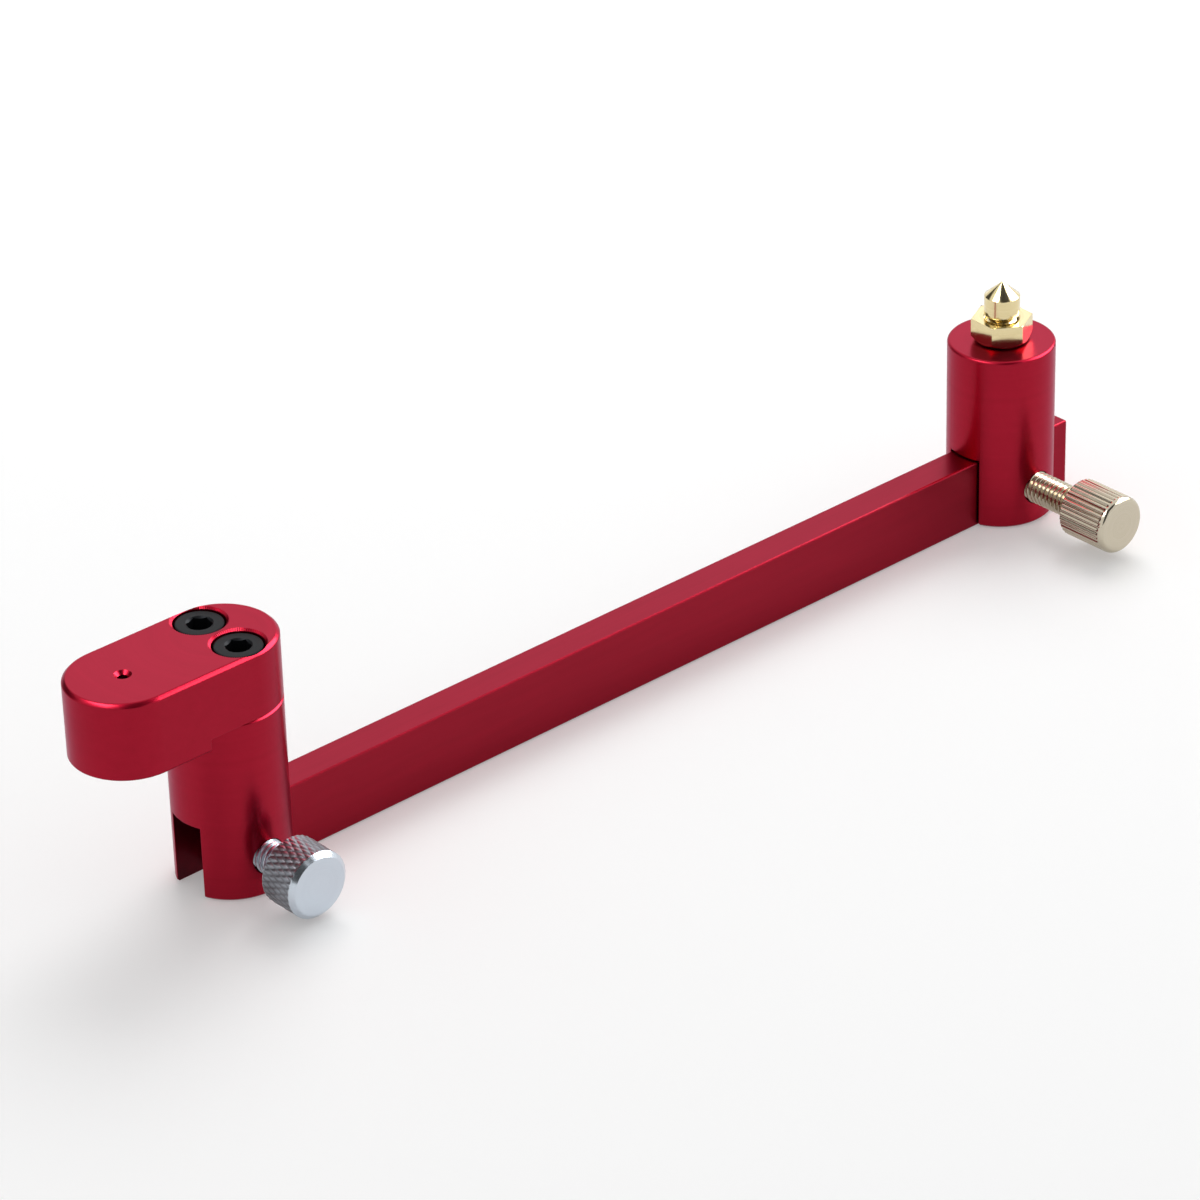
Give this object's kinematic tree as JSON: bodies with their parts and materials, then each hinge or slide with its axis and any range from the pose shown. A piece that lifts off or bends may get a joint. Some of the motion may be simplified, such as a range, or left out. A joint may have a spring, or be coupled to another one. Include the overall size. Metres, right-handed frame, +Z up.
{
  "type": "beam compass",
  "caption": "Beam compass for setting out circles: a flat bar carries a clamped head with a turned metal point and a clamped head with a bolted foot plate.",
  "frame": {"origin": "middle of the bar's lower face, which lies level with the open ends of both heads", "axes": "+X along the bar towards the pointed head, +Y away from the thumb screws, +Z up from the bar to the point and the foot plate"},
  "size_m": [0.2272, 0.041, 0.046],
  "materials": {
    "red_anodised": "red anodised, satin",
    "brass": "turned, bright",
    "pale_gold": "pale gold plate, straight knurl",
    "bright_chrome": "bright, diamond knurl",
    "black_oxide": "black oxide"
  },
  "bodies": {
    "beam": {"beam": "red_anodised"},
    "point_head": {"point_head": "red_anodised", "point_stud": "brass", "point_lock_nut": "brass"},
    "point_clamp_pad": {"point_clamp_pad": "brass"},
    "point_thumb_screw": {"point_thumb_screw": "pale_gold"},
    "foot_head": {"foot_head": "red_anodised", "foot_plate": "red_anodised", "foot_screw_left": "black_oxide", "foot_screw_right": "black_oxide"},
    "foot_clamp_pad": {"foot_clamp_pad": "brass"},
    "foot_thumb_screw": {"foot_thumb_screw": "bright_chrome"}
  },
  "joints": [
    {"name": "point_head_slide", "type": "slide", "parent": "beam", "child": "point_head", "axis": [1, 0, 0], "range_m": [-0.073, 0.0115]},
    {"name": "foot_head_slide", "type": "slide", "parent": "beam", "child": "foot_head", "axis": [1, 0, 0], "range_m": [0, 0.085]},
    {"name": "point_clamp_travel", "type": "slide", "parent": "point_head", "child": "point_clamp_pad", "axis": [0, -1, 0], "range_m": [0, 0.003]},
    {"name": "point_clamp_turn", "type": "hinge", "parent": "point_clamp_pad", "child": "point_thumb_screw", "pos_m": [0.0855, 0, 0.007], "axis": [0, -1, 0], "range_deg": [0, 1080]},
    {"name": "foot_clamp_travel", "type": "slide", "parent": "foot_head", "child": "foot_clamp_pad", "axis": [0, -1, 0], "range_m": [0, 0.003]},
    {"name": "foot_clamp_turn", "type": "hinge", "parent": "foot_clamp_pad", "child": "foot_thumb_screw", "pos_m": [-0.0975, 0, 0.007], "axis": [0, -1, 0], "range_deg": [0, 1080]}
  ],
  "couplings": [
    {"joint": "point_clamp_travel", "follows": "point_clamp_turn", "m_per_rad": 0.00015915},
    {"joint": "foot_clamp_travel", "follows": "foot_clamp_turn", "m_per_rad": 0.00015915}
  ]
}
